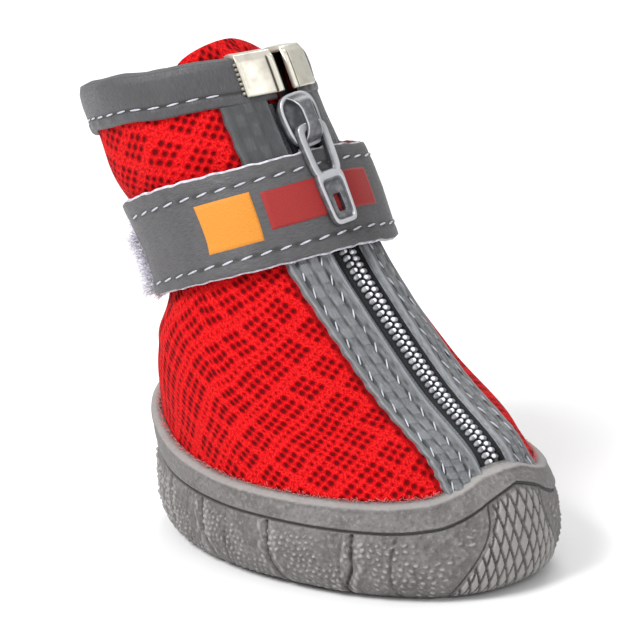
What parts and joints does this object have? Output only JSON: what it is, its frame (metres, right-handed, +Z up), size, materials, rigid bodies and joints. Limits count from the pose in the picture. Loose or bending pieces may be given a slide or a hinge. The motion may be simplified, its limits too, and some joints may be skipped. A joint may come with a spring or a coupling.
{
  "type": "dog boot",
  "caption": "Small dog boot: red air-mesh upper with a zip up the front, grey tape trim and ankle strap, on a cupped rubber sole with a lugged tread.",
  "frame": {"origin": "on the flat tread under the middle of the sole, where the boot stands", "axes": "+X towards the toe, +Y to the boot's left side, +Z up"},
  "size_m": [0.0902, 0.0536, 0.0812],
  "materials": {
    "mesh": "red air mesh with small holes",
    "rubber": "matt warm grey, stippled lugs",
    "insole_cloth": "dark brushed cloth",
    "tape": "grey reflective tape, satin",
    "coil": "pale grey nylon coil on dark tape",
    "clip_metal": "warm nickel, pressed",
    "slider_metal": "grey enamel, semi-gloss",
    "loop": "fleecy loop tape, pale lavender grey"
  },
  "bodies": {
    "boot": {"upper": "mesh", "sole": "rubber", "insole": "insole_cloth", "tongue": "mesh", "zip_chain": "coil", "facing_left": "tape", "facing_right": "tape", "collar_binding": "tape", "clip_left": "clip_metal", "clip_right": "clip_metal", "strap": "tape", "loop_patch": "loop", "zip_slider": "slider_metal"},
    "zip_pull": {"zip_pull": "slider_metal"}
  },
  "joints": [
    {"name": "pull_tab_hinge", "type": "hinge", "parent": "boot", "child": "zip_pull", "pos_m": [-0.00729, -0.00221, 0.06927], "axis": [-0.1755, -0.977, -0.1215], "range_deg": [0, 160]}
  ]
}
